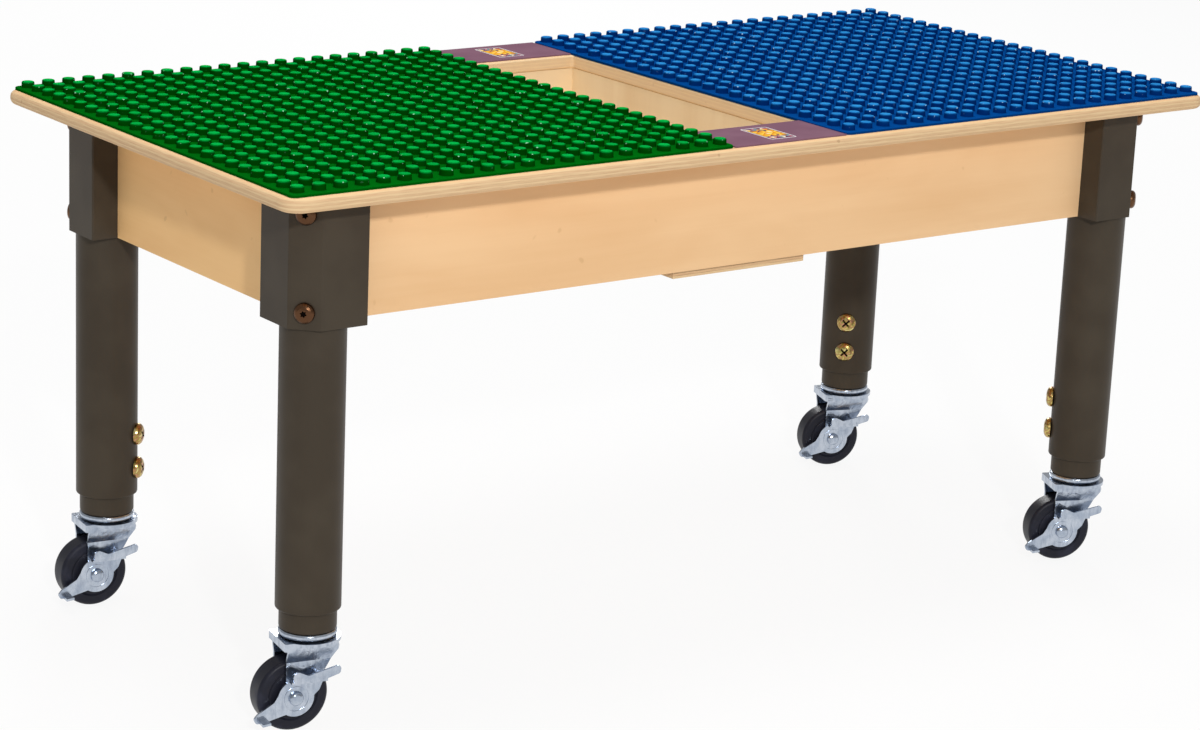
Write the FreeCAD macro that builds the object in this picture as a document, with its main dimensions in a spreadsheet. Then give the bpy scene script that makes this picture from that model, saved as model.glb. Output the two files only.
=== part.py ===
import FreeCAD, Part
import math
import os
import re

import Sketcher
from FreeCAD import Placement, Rotation, Vector

# Building block play table on four adjustable caster legs, in millimetres.
# The origin is on the floor, under the middle of the tabletop: +X along the table, +Z up.

SIZES = {
    # tabletop and the plates on it
    "top_length": 812.8,
    "top_depth": 393.7,
    "top_thick": 10.0,
    "top_corner_radius": 14.0,
    "top_edge_round": 4.5,
    "opening_width": 99.1,
    "opening_corner_radius": 2.5,
    "opening_edge_round": 1.5,
    "stud_pitch": 16.0,
    "stud_diameter": 9.4,
    "stud_height": 4.5,
    "stud_edge": 0.5,
    "plate_thick": 2.0,
    "plate_corner_radius": 5.0,
    "plate_margin": 4.0,
    "strip_thick": 1.0,
    "strip_gap": 0.3,
    # plywood frame and bin
    "apron_height": 86.7,
    "apron_thick": 9.0,
    "apron_reach": 5.5,
    "apron_end_gap": 0.6,
    "wall_thick": 9.0,
    "wall_setback": 0.6,
    "bin_floor_thick": 6.0,
    "bin_floor_setback": 5.0,
    "leg_inset_x": 53.15,
    "leg_inset_y": 55.75,
    # corner blocks and brackets
    "block_leg": 56.0,
    "block_nose": 20.0,
    "block_rise": 3.0,
    "block_tube_gap": 0.3,
    "bracket_face": 25.4,
    "bracket_chamfer_start": 9.4,
    "bracket_reach": 26.0,
    "bracket_sheet": 2.0,
    "bracket_bend_radius": 1.2,
    # leg tubes
    "outer_tube_diameter": 44.45,
    "outer_tube_wall": 2.4,
    "outer_tube_length": 283.1,
    "outer_rim_round": 1.2,
    "tube_clearance": 0.3,
    "inner_tube_wall": 2.0,
    "inner_tube_length": 212.0,
    "inner_rim_round": 1.8,
    "leg_reveal": 14.3,
    "leg_travel": 100.0,
    # screws
    "corner_screw_diameter": 5.0,
    "corner_screw_head_diameter": 14.0,
    "corner_screw_head_height": 4.0,
    "corner_screw_reach": 42.0,
    "corner_screw_rise": 11.5,
    "corner_screw_drop": 10.2,
    "corner_socket_width": 5.0,
    "corner_socket_depth": 2.4,
    "height_screw_diameter": 6.0,
    "height_screw_head_diameter": 16.0,
    "height_screw_head_height": 5.0,
    "height_screw_length": 9.0,
    "height_screw_rise": 20.0,
    "height_screw_spacing": 25.4,
    "cross_recess_length": 8.0,
    "cross_recess_width": 1.6,
    "cross_recess_depth": 2.6,
    "bin_screw_diameter": 3.5,
    "bin_screw_head_diameter": 7.0,
    "bin_screw_head_height": 1.9,
    "bin_screw_length": 24.0,
    "bin_screw_spacing": 110.0,
    "screw_gap": 0.2,
    # casters
    "wheel_diameter": 50.0,
    "wheel_width": 18.0,
    "wheel_edge_round": 3.0,
    "wheel_groove_radius": 17.0,
    "wheel_groove_width": 1.6,
    "wheel_groove_depth": 0.7,
    "hub_diameter": 15.0,
    "hub_side_gap": 0.2,
    "axle_diameter": 6.0,
    "axle_head_diameter": 10.0,
    "axle_head_height": 3.2,
    "axle_nut_diameter": 11.0,
    "axle_nut_height": 4.5,
    "running_gap": 0.05,
    "trail": 12.8,
    "fork_sheet": 2.0,
    "fork_side_gap": 1.5,
    "fork_foot_radius": 10.0,
    "crown_gap": 12.0,
    "crown_thick": 2.5,
    "crown_radius": 22.5,
    "crown_front": 21.8,
    "crown_front_half_width": 16.0,
    "crown_corner_round": 1.8,
    "crown_skirt": 3.0,
    "shoulder_half_width": 17.5,
    "shoulder_drop": 12.0,
    "cheek_front": 19.4,
    "cheek_back": 19.0,
    "cheek_waist_back": 10.0,
    "cheek_waist_rise": 21.0,
    "washer_thick": 0.8,
    "washer_radius": 11.0,
    "cup_height": 4.5,
    "cup_radius": 19.9,
    "cup_round": 1.8,
    "stem_diameter": 10.0,
    "stem_length": 22.0,
    "stem_bevel": 1.0,
    "spigot_diameter": 8.0,
    "rivet_head_diameter": 13.0,
    "rivet_head_height": 2.0,
    "socket_length": 28.0,
    "socket_gap": 0.15,
    # brake levers
    "lever_sheet": 1.6,
    "lever_disc_radius": 12.9,
    "lever_ledge_width": 6.4,
    "release_tab_sheet": 1.6,
    "pedal_flange_width": 7.0,
    "lever_tip_round": 2.2,
    "lever_tip_most_share": 0.09,
    "eye_groove_radius": 8.6,
    "eye_groove_width": 1.0,
    "eye_groove_depth": 0.4,
    # how far a cut runs past the solid
    "overrun": 2.0,
}

# Each leg: its name, the side of the table it stands on along X and Y,
# and the direction in degrees in which its caster trails.
LEGS = [
    ("front_left", -1, -1, 170.0),
    ("back_left", -1, 1, 173.0),
    ("front_right", 1, -1, 157.0),
    ("back_right", 1, 1, 160.0),
]

# Head outlines as shares of the head's radius and height, from its seat to its top.
DOME_SHARES = [(1.0, 0.0), (1.0, 0.30), (0.94, 0.55), (0.80, 0.79), (0.60, 0.94), (0.38, 1.0)]
NUT_SHARES = [(1.0, 0.0), (1.0, 0.80), (0.80, 1.0)]

# Star socket: the radius of its hollows as a share of the radius of its points.
STAR_HOLLOW_SHARE = 0.62

# Brake lever outlines as shares of the wheel's radius, from the axle: along the trail, and up.
WING_SHARES = [(0.26, 0.40), (0.22, 0.55), (-0.82, 0.55), (-0.66, 0.17), (-0.48, 0.0), (0.0, 0.0)]
PEDAL_SHARES = [(0.44, 0.22), (0.62, -0.06), (1.09, -0.34), (1.19, -0.46), (1.12, -0.60),
                (0.83, -0.57), (0.30, -0.44), (0.0, -0.30)]
LEDGE_SHARES = [(0.22, 0.49), (0.22, 0.55), (-0.80, 0.55), (-0.80, 0.49)]
RELEASE_SHARES = [(0.16, 0.51), (0.18, 0.76), (0.02, 0.82), (-0.26, 0.69), (-1.13, 0.90),
                  (-1.18, 0.80), (-1.15, 0.66), (-0.56, 0.49)]
PEDAL_FLANGE_SHARES = [(0.80, -0.565), (0.80, -0.50), (1.03, -0.52), (1.03, -0.59)]

# Two places nearer to each other than this are the same place.
SAME_PLACE = 1e-6

doc = FreeCAD.newDocument("play_table")
dims = doc.addObject("Spreadsheet::Sheet", "dims")
for row, (alias, number) in enumerate(SIZES.items(), start=1):
    dims.set("A%d" % row, alias)
    dims.set("B%d" % row, str(number))
    dims.setAlias("B%d" % row, alias)
doc.recompute()

parts = []


def on_sheet(formula):
    """The formula with each size's name pointing at the sheet."""
    return re.sub(r"[a-z]\w*", lambda m: "dims." + m.group() if m.group() in SIZES else m.group(), formula)


def value(formula):
    """The formula's number, from the sheet."""
    return float(dims.evalExpression(on_sheet(formula)))


# Formulas that several pieces share

WHEEL_R = "(wheel_diameter / 2)"
CROWN_LOW = "(wheel_diameter + crown_gap)"
CROWN_TOP = f"({CROWN_LOW} + crown_thick)"
CUP_LOW = f"({CROWN_TOP} + washer_thick)"
INNER_LOW = f"({CUP_LOW} + cup_height)"
OUTER_LOW = f"({INNER_LOW} + leg_reveal)"
TOP_LOW = f"({OUTER_LOW} + outer_tube_length)"
TOP_HIGH = f"({TOP_LOW} + top_thick)"
APRON_LOW = f"({TOP_LOW} - apron_height)"
OPENING_X = "(opening_width / 2)"
STUDS_ALONG = f"floor((top_length / 2 - {OPENING_X} - plate_margin) / stud_pitch)"
STUDS_ACROSS = "floor((top_depth - 2 * plate_margin) / stud_pitch)"
PLATE_LENGTH = f"({STUDS_ALONG} * stud_pitch)"
PLATE_DEPTH = f"({STUDS_ACROSS} * stud_pitch)"
LEG_X = "(top_length / 2 - leg_inset_x)"
LEG_Y = "(top_depth / 2 - leg_inset_y)"
APRON_FACE_X = f"({LEG_X} + apron_reach)"
APRON_FACE_Y = f"({LEG_Y} + apron_reach)"
OPENING_Y = f"({APRON_FACE_Y} - apron_thick - wall_setback)"
OUTER_R = "(outer_tube_diameter / 2)"
OUTER_BORE = f"({OUTER_R} - outer_tube_wall)"
INNER_R = f"({OUTER_BORE} - tube_clearance)"
INNER_BORE = f"({INNER_R} - inner_tube_wall)"
APRON_STOP = f"({OUTER_R} + apron_end_gap)"
CHAMFER_X = "((bracket_face + bracket_chamfer_start) / sqrt(2))"
CORNER_SCREW_LOW = f"({APRON_LOW} + corner_screw_rise)"
CORNER_SCREW_HIGH = f"({TOP_LOW} - corner_screw_drop)"
HEIGHT_SCREW_LOW = f"({OUTER_LOW} + height_screw_rise)"
HEIGHT_SCREW_HIGH = f"({HEIGHT_SCREW_LOW} + height_screw_spacing)"
CHEEK_IN = "(wheel_width / 2 + fork_side_gap)"
CHEEK_OUT = f"({CHEEK_IN} + fork_sheet)"
LEVER_OUT = f"({CHEEK_OUT} + lever_sheet)"
LEVER_TIP_ROUND = f"min(lever_tip_round; lever_tip_most_share * {WHEEL_R})"
AXLE_BORE = "(axle_diameter / 2 + running_gap)"
SPIGOT_BORE = "(spigot_diameter / 2 + running_gap)"
CORNER_SCREW_HOLE = "(corner_screw_diameter / 2 + screw_gap)"
HEIGHT_SCREW_HOLE = "(height_screw_diameter / 2 + screw_gap)"
BIN_SCREW_ROWS = ("-bin_screw_spacing", "0", "bin_screw_spacing")


# Sketch helpers: every corner, centre and radius is held by a formula

def new_body(label):
    body = doc.addObject("PartDesign::Body", label)
    body.Label = label
    parts.append(body)
    return body


def new_sketch(body, plane, offset="0"):
    """A sketch on one of the body's own planes, moved along that plane's normal."""
    sketch = body.newObject("Sketcher::SketchObject", body.Label + "_sketch")
    base = [item for item in body.Origin.OriginFeatures if item.Role == plane + "_Plane"]
    sketch.AttachmentSupport = [(base[0], "")]
    sketch.MapMode = "FlatFace"
    sketch.setExpression("AttachmentOffset.Base.z", on_sheet(offset))
    return sketch


def hold(sketch, kind, edge, point, formula):
    """Holds one coordinate of a point of an edge at a formula."""
    number = sketch.addConstraint(Sketcher.Constraint(kind, -1, 1, edge, point, value(formula)))
    sketch.setExpression("Constraints[%d]" % number, on_sheet(formula))


def polygon(sketch, corners):
    """A closed outline of straight edges through corners given as pairs of formulas."""
    first = sketch.GeometryCount
    places = [Vector(value(across), value(up), 0) for across, up in corners]
    count = len(corners)
    for index, place in enumerate(places):
        sketch.addGeometry(Part.LineSegment(place, places[(index + 1) % count]), False)
    for index, (across, up) in enumerate(corners):
        following = first + (index + 1) % count
        sketch.addConstraint(Sketcher.Constraint("Coincident", first + index, 2, following, 1))
        hold(sketch, "DistanceX", first + index, 1, across)
        hold(sketch, "DistanceY", first + index, 1, up)


def rectangle(sketch, left, low, right, high):
    polygon(sketch, [(left, low), (right, low), (right, high), (left, high)])


def circle(sketch, across, up, radius):
    place = Vector(value(across), value(up), 0)
    edge = sketch.addGeometry(Part.Circle(place, Vector(0, 0, 1), value(radius)), False)
    hold(sketch, "DistanceX", edge, 3, across)
    hold(sketch, "DistanceY", edge, 3, up)
    number = sketch.addConstraint(Sketcher.Constraint("Radius", edge, value(radius)))
    sketch.setExpression("Constraints[%d]" % number, on_sheet(radius))


def upright_slot(sketch, half_width, low, high):
    """A slot with round ends, centred on the sketch's upright axis."""
    half = value(half_width)
    bottom = Vector(0, value(low), 0)
    top = Vector(0, value(high), 0)
    side = Vector(half, 0, 0)
    normal = Vector(0, 0, 1)
    sketch.addGeometry(Part.LineSegment(bottom + side, top + side), False)
    sketch.addGeometry(Part.ArcOfCircle(Part.Circle(top, normal, half), 0, math.pi), False)
    sketch.addGeometry(Part.LineSegment(top - side, bottom - side), False)
    sketch.addGeometry(Part.ArcOfCircle(Part.Circle(bottom, normal, half), math.pi, 2 * math.pi), False)
    for edge in range(4):
        sketch.addConstraint(Sketcher.Constraint("Coincident", edge, 2, (edge + 1) % 4, 1))
    hold(sketch, "DistanceX", 0, 1, half_width)
    hold(sketch, "DistanceX", 0, 2, half_width)
    hold(sketch, "DistanceX", 2, 1, "-" + half_width)
    hold(sketch, "DistanceX", 2, 2, "-" + half_width)
    hold(sketch, "DistanceY", 0, 1, low)
    hold(sketch, "DistanceY", 2, 2, low)
    hold(sketch, "DistanceY", 0, 2, high)
    hold(sketch, "DistanceY", 2, 1, high)
    hold(sketch, "DistanceY", 1, 3, high)
    hold(sketch, "DistanceY", 3, 3, low)


# Feature helpers

def pad(body, plane, draw, low, high):
    """Adds what the sketch encloses, between two places along the plane's axis."""
    start = f"-({high})" if plane == "XZ" else low
    sketch = new_sketch(body, plane, start)
    draw(sketch)
    feature = body.newObject("PartDesign::Pad", body.Label + "_pad")
    feature.Profile = sketch
    feature.setExpression("Length", on_sheet(f"({high}) - ({low})"))
    doc.recompute()
    return feature


def cut(body, plane, draw, low, high):
    """Cuts what the sketch encloses, between two places along the plane's axis."""
    start = f"-({low})" if plane == "XZ" else high
    sketch = new_sketch(body, plane, start)
    draw(sketch)
    before = body.Shape.Volume
    feature = body.newObject("PartDesign::Pocket", body.Label + "_cut")
    feature.Profile = sketch
    feature.setExpression("Length", on_sheet(f"({high}) - ({low})"))
    doc.recompute()
    assert body.Shape.Volume < before, body.Label + ": a cut took nothing away"
    return feature


def turn(body, plane, draw):
    """Turns what the sketch encloses about the sketch's upright axis."""
    sketch = new_sketch(body, plane)
    draw(sketch)
    feature = body.newObject("PartDesign::Revolution", body.Label + "_turned")
    feature.Profile = sketch
    feature.ReferenceAxis = (sketch, ["V_Axis"])
    feature.Angle = 360
    doc.recompute()
    return feature


def round_edges(body, radius, chosen):
    """Rounds the edges of the body's last feature that the test chooses."""
    base = body.Tip
    names = ["Edge%d" % number for number, edge in enumerate(base.Shape.Edges, start=1) if chosen(edge)]
    feature = body.newObject("PartDesign::Fillet", body.Label + "_round")
    feature.Base = (base, names)
    feature.setExpression("Radius", on_sheet(radius))
    doc.recompute()
    assert "Invalid" not in feature.State, body.Label + ": an edge can't be rounded by " + radius
    return feature


def is_upright(edge):
    """True for a straight edge along Z."""
    start, end = edge.Vertexes[0].Point, edge.Vertexes[-1].Point
    return start.distanceToPoint(end) > 0 and (end - start).cross(Vector(0, 0, 1)).Length < SAME_PLACE


def at_height(edge, height):
    """True for an edge that lies level at this height."""
    box = edge.BoundBox
    return abs(box.ZMin - height) < SAME_PLACE and abs(box.ZMax - height) < SAME_PLACE


def reaches(edge, radius):
    """True for an edge that reaches this far along X."""
    return edge.BoundBox.XMax > radius - SAME_PLACE


def place(item, across="0", along="0", up="0", degrees=0.0):
    """Turns a sub-part about Z and puts its origin where the formulas say."""
    item.Placement = Placement(Vector(), Rotation(Vector(0, 0, 1), degrees))
    item.setExpression("Placement.Base.x", on_sheet(across))
    item.setExpression("Placement.Base.y", on_sheet(along))
    item.setExpression("Placement.Base.z", on_sheet(up))


def board(label, corner, size):
    """A plain board: its low corner and its three sizes as formulas."""
    item = doc.addObject("Part::Box", label)
    item.Label = label
    for name, formula in zip(("Length", "Width", "Height"), size):
        item.setExpression(name, on_sheet(formula))
    for name, formula in zip("xyz", corner):
        item.setExpression("Placement.Base." + name, on_sheet(formula))
    parts.append(item)
    return item


# Tabletop

def tabletop():
    body = new_body("tabletop")
    half_x, half_y = "top_length / 2", "top_depth / 2"
    pad(body, "XY", lambda s: rectangle(s, "-" + half_x, "-" + half_y, half_x, half_y), TOP_LOW, TOP_HIGH)
    round_edges(body, "top_corner_radius", is_upright)
    round_edges(body, "top_edge_round", lambda edge: not is_upright(edge))

    def opening(sketch):
        rectangle(sketch, "-" + OPENING_X, "-" + OPENING_Y, OPENING_X, OPENING_Y)

    cut(body, "XY", opening, f"{TOP_LOW} - overrun", f"{TOP_HIGH} + overrun")
    limit_x = value(OPENING_X) + SAME_PLACE
    limit_y = value(OPENING_Y) + SAME_PLACE

    def in_opening(edge):
        spot = edge.CenterOfMass
        return abs(spot.x) < limit_x and abs(spot.y) < limit_y

    round_edges(body, "opening_corner_radius", lambda edge: in_opening(edge) and is_upright(edge))
    round_edges(body, "opening_edge_round", lambda edge: in_opening(edge) and not is_upright(edge))


def stud_plate(label, side):
    """A plate with its studs: a rounded sheet and a grid of round studs with a bevelled edge."""
    length, depth = value(PLATE_LENGTH), value(PLATE_DEPTH)
    thick, pitch = value("plate_thick"), value("stud_pitch")
    left = value(OPENING_X) if side > 0 else -value(OPENING_X) - length
    base = Part.makeBox(length, depth, thick, Vector(left, -depth / 2, value(TOP_HIGH)))
    base = base.makeFillet(value("plate_corner_radius"), [edge for edge in base.Edges if is_upright(edge)])
    radius, height, edge_cut = value("stud_diameter") / 2, value("stud_height"), value("stud_edge")
    side_line = [Vector(0, 0, 0), Vector(radius, 0, 0), Vector(radius, 0, height - edge_cut),
                 Vector(radius - edge_cut, 0, height), Vector(0, 0, height), Vector(0, 0, 0)]
    stud = Part.Face(Part.makePolygon(side_line)).revolve(Vector(), Vector(0, 0, 1), 360)
    studs = []
    for column in range(int(value(STUDS_ALONG))):
        for line in range(int(value(STUDS_ACROSS))):
            spot = Vector(left + (column + 0.5) * pitch, (line + 0.5) * pitch - depth / 2,
                          value(TOP_HIGH) + thick)
            studs.append(stud.translated(spot))
    item = doc.addObject("Part::Feature", label)
    item.Label = label
    item.Shape = base.multiFuse(studs)
    parts.append(item)


def strip(label, side):
    """The printed strip on the tabletop between the plates, at one end of the opening."""
    half = f"({OPENING_X} - strip_gap)"
    inner = f"({OPENING_Y} + opening_corner_radius)"
    depth = f"({PLATE_DEPTH} / 2 - {inner})"
    low = inner if side > 0 else f"-({PLATE_DEPTH} / 2)"
    board(label, ("-" + half, low, TOP_HIGH), (f"2 * {half}", depth, "strip_thick"))


# Plywood frame and bin

def frame_boards():
    long_half = f"({LEG_X} - {APRON_STOP})"
    short_half = f"({LEG_Y} - {APRON_STOP})"
    long_size = (f"2 * {long_half}", "apron_thick", "apron_height")
    short_size = ("apron_thick", f"2 * {short_half}", "apron_height")
    board("apron_front", ("-" + long_half, "-" + APRON_FACE_Y, APRON_LOW), long_size)
    board("apron_back", ("-" + long_half, f"{APRON_FACE_Y} - apron_thick", APRON_LOW), long_size)
    board("apron_left", ("-" + APRON_FACE_X, "-" + short_half, APRON_LOW), short_size)
    board("apron_right", (f"{APRON_FACE_X} - apron_thick", "-" + short_half, APRON_LOW), short_size)
    wall_in = f"({OPENING_X} + wall_setback)"
    wall_out = f"({wall_in} + wall_thick)"
    wall_half = f"({APRON_FACE_Y} - apron_thick)"
    wall_size = ("wall_thick", f"2 * {wall_half}", "apron_height")
    board("bin_wall_left", ("-" + wall_out, "-" + wall_half, APRON_LOW), wall_size)
    board("bin_wall_right", (wall_in, "-" + wall_half, APRON_LOW), wall_size)
    bin_floor(wall_in, wall_out)


def bin_floor(wall_in, wall_out):
    """The bin's bottom panel, with countersunk holes for the screws into the walls."""
    body = new_body("bin_floor")
    half_y = f"({APRON_FACE_Y} - bin_floor_setback)"
    low = f"({APRON_LOW} - bin_floor_thick)"
    pad(body, "XY", lambda s: rectangle(s, "-" + wall_out, "-" + half_y, wall_out, half_y), low, APRON_LOW)
    middle = f"(({wall_in} + {wall_out}) / 2)"
    spots = [(sign + middle, row) for sign in ("", "-") for row in BIN_SCREW_ROWS]

    def holes(radius):
        return lambda s: [circle(s, across, along, radius) for across, along in spots]

    shank, head = "(bin_screw_diameter / 2 + screw_gap)", "(bin_screw_head_diameter / 2 + screw_gap)"
    cut(body, "XY", holes(shank), f"{low} - overrun", f"{APRON_LOW} + overrun")
    cut(body, "XY", holes(head), f"{low} - overrun", f"{low} + bin_screw_head_height")
    for name in ("bin_wall_left", "bin_wall_right"):
        drill_wall(name, shank, middle)
    head_down = Rotation(Vector(0, 0, 1), Vector(0, 0, -1))
    seats = [Vector(value(across), value(along), value(low)) for across, along in spots]
    screw_group("bin_screws", bin_screw(), [Placement(seat, head_down) for seat in seats])


def drill_wall(name, radius, middle):
    """Swaps a bin wall for the same wall with its pilot holes drilled."""
    wall = doc.getObject(name)
    parts.remove(wall)
    wall.Label = name + "_blank"
    holes = []
    side = "-" if "left" in name else ""
    for row in BIN_SCREW_ROWS:
        hole = doc.addObject("Part::Cylinder", name + "_hole")
        hole.setExpression("Radius", on_sheet(radius))
        hole.setExpression("Height", on_sheet("bin_screw_length"))
        hole.setExpression("Placement.Base.x", on_sheet(side + middle))
        hole.setExpression("Placement.Base.y", on_sheet(row))
        hole.setExpression("Placement.Base.z", on_sheet(f"{APRON_LOW} - overrun"))
        holes.append(hole)
    all_holes = doc.addObject("Part::MultiFuse", name + "_holes")
    all_holes.Shapes = holes
    drilled = doc.addObject("Part::Cut", name + "_drilled")
    drilled.Base = wall
    drilled.Tool = all_holes
    drilled.Label = name
    parts.append(drilled)
    doc.recompute()


# Screws: each kind is turned once, head up from its seat at the origin, and copied to its places

def domed_screw(label, head, height, shank, length):
    body = doc.addObject("PartDesign::Body", label)
    body.Label = label
    dome = [(f"{across} * {head} / 2", f"{up} * {height}") for across, up in DOME_SHARES]
    shaft = [("0", f"-({length})"), (f"{shank} / 2", f"-({length})"), (f"{shank} / 2", "0")]
    turn(body, "XZ", lambda s: polygon(s, shaft + dome + [("0", height)]))
    return body


def corner_screw():
    length = f"{CHAMFER_X} + corner_screw_reach"
    body = domed_screw("corner_screw", "corner_screw_head_diameter", "corner_screw_head_height",
                       "corner_screw_diameter", length)

    def star(sketch):
        points, hollows = "(corner_socket_width / 2)", f"({STAR_HOLLOW_SHARE} * corner_socket_width / 2)"
        corners = []
        for step in range(12):
            radius = hollows if step % 2 else points
            corners.append((f"{radius} * cos({30 * step} deg)", f"{radius} * sin({30 * step} deg)"))
        polygon(sketch, corners)

    high = "corner_screw_head_height"
    cut(body, "XY", star, f"{high} - corner_socket_depth", f"{high} + overrun")
    return body


def height_screw():
    body = domed_screw("height_screw", "height_screw_head_diameter", "height_screw_head_height",
                       "height_screw_diameter", "height_screw_length")
    half, arm = "(cross_recess_width / 2)", "(cross_recess_length / 2)"

    def cross(sketch):
        polygon(sketch, [(arm, "-" + half), (arm, half), (half, half), (half, arm), ("-" + half, arm),
                         ("-" + half, half), ("-" + arm, half), ("-" + arm, "-" + half),
                         ("-" + half, "-" + half), ("-" + half, "-" + arm), (half, "-" + arm),
                         (half, "-" + half)])

    high = "height_screw_head_height"
    cut(body, "XY", cross, f"{high} - cross_recess_depth", f"{high} + overrun")
    return body


def bin_screw():
    """Countersunk screw: its head's flat face is at the origin and its point goes down."""
    body = doc.addObject("PartDesign::Body", "bin_screw")
    body.Label = "bin_screw"
    tip = "(bin_screw_length - bin_screw_diameter)"
    turn(body, "XZ", lambda s: polygon(s, [
        ("0", "-bin_screw_length"), ("bin_screw_diameter / 2", "-" + tip),
        ("bin_screw_diameter / 2", "-bin_screw_head_height"), ("bin_screw_head_diameter / 2", "0"),
        ("0", "0")]))
    return body


def screw_group(label, screw, places):
    """One node with a copy of the screw at each place."""
    item = doc.addObject("Part::Feature", label)
    item.Label = label
    item.Shape = Part.makeCompound([screw.Shape.transformed(spot.toMatrix()) for spot in places])
    parts.append(item)


def leg_screws():
    corner_places, height_places = [], []
    for _, side_x, side_y, _ in LEGS:
        outward = Vector(side_x, side_y, 0).normalize()
        centre = Vector(side_x * value(LEG_X), side_y * value(LEG_Y), 0)
        for height in (CORNER_SCREW_LOW, CORNER_SCREW_HIGH):
            seat = centre + outward * value(CHAMFER_X) + Vector(0, 0, value(height))
            corner_places.append(Placement(seat, Rotation(Vector(0, 0, 1), outward)))
        for height in (HEIGHT_SCREW_LOW, HEIGHT_SCREW_HIGH):
            seat = centre - outward * value(OUTER_R) + Vector(0, 0, value(height))
            height_places.append(Placement(seat, Rotation(Vector(0, 0, 1), -outward)))
    screw_group("corner_screws", corner_screw(), corner_places)
    screw_group("height_screws", height_screw(), height_places)


# Legs. Each piece is drawn with its own +X pointing out along the table corner's diagonal.

def outward(corners):
    """Corners given as (out along X, out along Y), turned into the leg's diagonal frame."""
    return [(f"(({x}) + ({y})) / sqrt(2)", f"(({y}) - ({x})) / sqrt(2)") for x, y in corners]


def corner_bracket(leg):
    body = new_body("corner_bracket_" + leg)
    face, start, reach = "bracket_face", "bracket_chamfer_start", "bracket_reach"
    inside = "(bracket_face - bracket_sheet)"
    inside_start = "(bracket_chamfer_start - bracket_sheet * (sqrt(2) - 1))"
    inside_reach = "(bracket_reach - bracket_sheet)"
    outer = [("-" + reach, "apron_reach"), ("-" + reach, face), (start, face)]
    outer += [(y, x) for x, y in reversed(outer)]
    inner = [("-" + inside_reach, "apron_reach"), ("-" + inside_reach, inside), (inside_start, inside)]
    inner += [(y, x) for x, y in reversed(inner)]
    pad(body, "XY", lambda s: polygon(s, outward(outer + inner[::-1])), APRON_LOW, TOP_LOW)
    middle_of_sheet = value("bracket_face") - value("bracket_sheet") / 2

    def outer_bend(edge):
        spot = edge.CenterOfMass
        out_x = (spot.x - spot.y) / math.sqrt(2)
        out_y = (spot.x + spot.y) / math.sqrt(2)
        return is_upright(edge) and max(out_x, out_y) > middle_of_sheet

    round_edges(body, "bracket_bend_radius", outer_bend)
    corner_screw_holes(body, "0", f"{CHAMFER_X} + overrun")
    return body


def corner_screw_holes(body, low, high):
    """Holes along the diagonal for the two corner screws."""
    def both(sketch):
        circle(sketch, "0", CORNER_SCREW_LOW, CORNER_SCREW_HOLE)
        circle(sketch, "0", CORNER_SCREW_HIGH, CORNER_SCREW_HOLE)

    cut(body, "YZ", both, low, high)


def corner_block(leg):
    """Wooden block that fills the corner between two aprons behind the tube."""
    body = new_body("corner_block_" + leg)
    back = "(apron_thick - apron_reach)"
    corners = [("-" + back, "-" + back), ("-block_leg", "-" + back), ("-block_leg", "-block_nose"),
               ("-block_nose", "-block_leg"), ("-" + back, "-block_leg")]
    low = f"({APRON_LOW} + block_rise)"
    pad(body, "XY", lambda s: polygon(s, outward(corners)), low, TOP_LOW)
    cut(body, "XY", lambda s: circle(s, "0", "0", f"{OUTER_R} + block_tube_gap"),
        f"{low} - overrun", f"{TOP_LOW} + overrun")
    corner_screw_holes(body, "-(corner_screw_reach + screw_gap)", "0")
    return body


def tube(label, radius, bore, low, high):
    body = new_body(label)
    turn(body, "XZ", lambda s: rectangle(s, bore, low, radius, high))
    return body


def outer_tube(leg):
    body = tube("outer_tube_" + leg, OUTER_R, OUTER_BORE, OUTER_LOW, TOP_LOW)
    rim, low = value(OUTER_R), value(OUTER_LOW)
    round_edges(body, "outer_rim_round", lambda edge: at_height(edge, low) and reaches(edge, rim))
    corner_screw_holes(body, f"-({OUTER_R} + overrun)", f"{OUTER_R} + overrun")

    def height_holes(sketch):
        circle(sketch, "0", HEIGHT_SCREW_LOW, HEIGHT_SCREW_HOLE)
        circle(sketch, "0", HEIGHT_SCREW_HIGH, HEIGHT_SCREW_HOLE)

    cut(body, "YZ", height_holes, f"-({OUTER_R} + overrun)", "0")
    return body


def inner_tube(leg):
    """The sliding tube: a slot on its inner side lets it pass the height screws."""
    high = f"({INNER_LOW} + inner_tube_length)"
    body = tube("inner_tube_" + leg, INNER_R, INNER_BORE, INNER_LOW, high)
    rim, low = value(INNER_R), value(INNER_LOW)
    round_edges(body, "inner_rim_round", lambda edge: at_height(edge, low) and reaches(edge, rim))
    slot_high = f"{HEIGHT_SCREW_HIGH} + leg_travel"
    cut(body, "YZ", lambda s: upright_slot(s, HEIGHT_SCREW_HOLE, HEIGHT_SCREW_LOW, slot_high),
        f"-({INNER_R} + overrun)", "0")
    return body


def stem_socket(leg):
    body = new_body("stem_socket_" + leg)
    bore, high = "(stem_diameter / 2 + socket_gap)", f"({INNER_LOW} + socket_length)"
    turn(body, "XZ", lambda s: rectangle(s, bore, INNER_LOW, f"{INNER_BORE} - socket_gap", high))
    return body


# Casters. Each piece is drawn with its own +X along the trail and +Y along the axle.

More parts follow.
